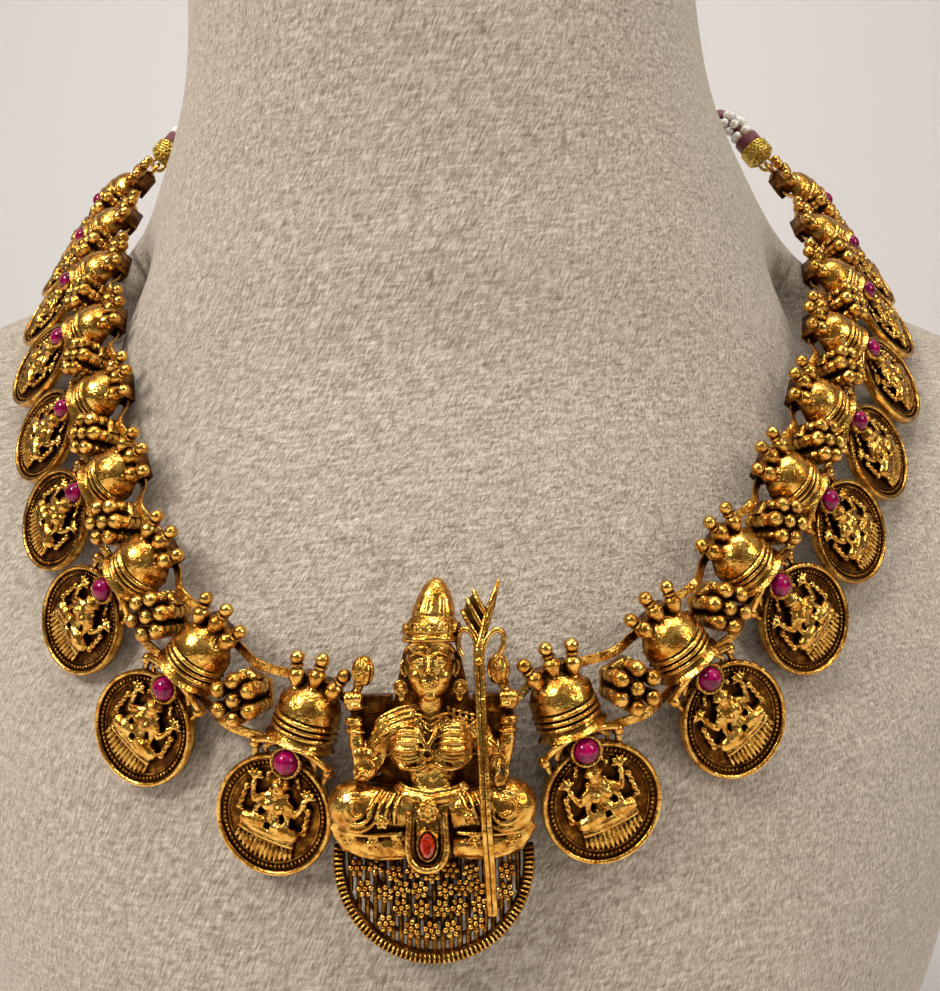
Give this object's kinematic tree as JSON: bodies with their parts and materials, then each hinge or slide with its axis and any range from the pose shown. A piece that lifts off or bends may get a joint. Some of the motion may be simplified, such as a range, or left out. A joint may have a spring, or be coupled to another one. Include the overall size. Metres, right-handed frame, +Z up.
{
  "type": "temple jewellery necklace on a neck bust",
  "caption": "Antique gold temple necklace of coin units with ruby cabochons, ball clusters and a goddess pendant, on a plain suede neck bust.",
  "frame": {"origin": "middle of the bust's flat underside, below the neck's middle line", "axes": "+Z up the neck, -Y the way the bust faces, +X the right side in the picture"},
  "size_m": [0.2748, 0.1536, 0.25],
  "materials": {
    "suede": "matte ribbed suede",
    "antique_gold": "antique gold plating, dark in the recesses",
    "ruby": "polished, foiled behind",
    "navette_stone": "polished, faceted",
    "maroon_thread": "silk thread",
    "seed_pearl": "pearly"
  },
  "bodies": {
    "root": {"neck_bust": "suede", "goddess_pendant": "antique_gold", "sash_stone": "navette_stone", "coin_unit_L1": "antique_gold", "coin_unit_L2": "antique_gold", "coin_unit_L3": "antique_gold", "coin_unit_L4": "antique_gold", "coin_unit_L5": "antique_gold", "coin_unit_L6": "antique_gold", "coin_unit_L7": "antique_gold", "coin_unit_L8": "antique_gold", "coin_unit_L9": "antique_gold", "coin_unit_R1": "antique_gold", "coin_unit_R2": "antique_gold", "coin_unit_R3": "antique_gold", "coin_unit_R4": "antique_gold", "coin_unit_R5": "antique_gold", "coin_unit_R6": "antique_gold", "coin_unit_R7": "antique_gold", "coin_unit_R8": "antique_gold", "coin_unit_R9": "antique_gold", "ball_cluster_L1": "antique_gold", "ball_cluster_L2": "antique_gold", "ball_cluster_L3": "antique_gold", "ball_cluster_L4": "antique_gold", "ball_cluster_L5": "antique_gold", "ball_cluster_L6": "antique_gold", "ball_cluster_L7": "antique_gold", "ball_cluster_L8": "antique_gold", "ball_cluster_R1": "antique_gold", "ball_cluster_R2": "antique_gold", "ball_cluster_R3": "antique_gold", "ball_cluster_R4": "antique_gold", "ball_cluster_R5": "antique_gold", "ball_cluster_R6": "antique_gold", "ball_cluster_R7": "antique_gold", "ball_cluster_R8": "antique_gold", "rubies_left": "ruby", "rubies_right": "ruby", "strip_links_left": "antique_gold", "strip_links_right": "antique_gold", "end_ring_left": "antique_gold", "end_ring_right": "antique_gold", "zari_cap_left": "antique_gold", "zari_cap_right": "antique_gold", "thread_wrap_left": "maroon_thread", "thread_wrap_right": "maroon_thread", "pearl_rope_left": "seed_pearl", "pearl_rope_right": "seed_pearl", "clasp": "antique_gold"}
  },
  "joints": []
}
